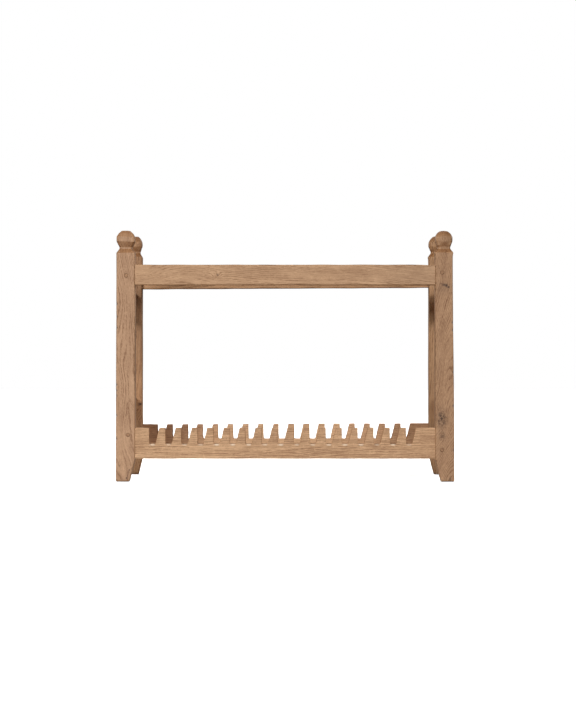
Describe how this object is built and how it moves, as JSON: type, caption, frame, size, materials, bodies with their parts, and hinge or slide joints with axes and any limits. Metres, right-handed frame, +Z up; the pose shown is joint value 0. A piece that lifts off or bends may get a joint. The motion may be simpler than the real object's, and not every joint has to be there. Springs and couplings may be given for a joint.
{
  "type": "plate rack",
  "caption": "Free-standing wooden plate rack: square posts with carved finials, plain top rails and notched lower rails that hold plates on edge, joined by pegged tenons.",
  "frame": {"origin": "on the floor under the middle of the rack", "axes": "+X along the rack to its right as seen from the front, +Y from front to back, +Z up"},
  "size_m": [0.5286, 0.2306, 0.3915],
  "materials": {
    "oak_post": "matt oil, hand-finished",
    "oak_rail": "matt oil, hand-finished",
    "oak_notched_rail": "matt oil, hand-finished",
    "oak_peg": "matt oil, end grain"
  },
  "bodies": {
    "root": {"post_front_left": "oak_post", "post_front_right": "oak_post", "post_back_left": "oak_post", "post_back_right": "oak_post", "top_rail_front": "oak_rail", "top_rail_back": "oak_rail", "side_rail_upper_left": "oak_rail", "side_rail_upper_right": "oak_rail", "side_rail_lower_left": "oak_rail", "side_rail_lower_right": "oak_rail", "notched_rail_front": "oak_notched_rail", "notched_rail_back": "oak_notched_rail", "peg_top_rail_front_left": "oak_peg", "peg_notched_rail_front_left": "oak_peg", "peg_side_rail_upper_left_front": "oak_peg", "peg_side_rail_lower_left_front": "oak_peg", "peg_top_rail_back_left": "oak_peg", "peg_notched_rail_back_left": "oak_peg", "peg_side_rail_upper_left_back": "oak_peg", "peg_side_rail_lower_left_back": "oak_peg", "peg_top_rail_front_right": "oak_peg", "peg_notched_rail_front_right": "oak_peg", "peg_side_rail_upper_right_front": "oak_peg", "peg_side_rail_lower_right_front": "oak_peg", "peg_top_rail_back_right": "oak_peg", "peg_notched_rail_back_right": "oak_peg", "peg_side_rail_upper_right_back": "oak_peg", "peg_side_rail_lower_right_back": "oak_peg"}
  },
  "joints": []
}
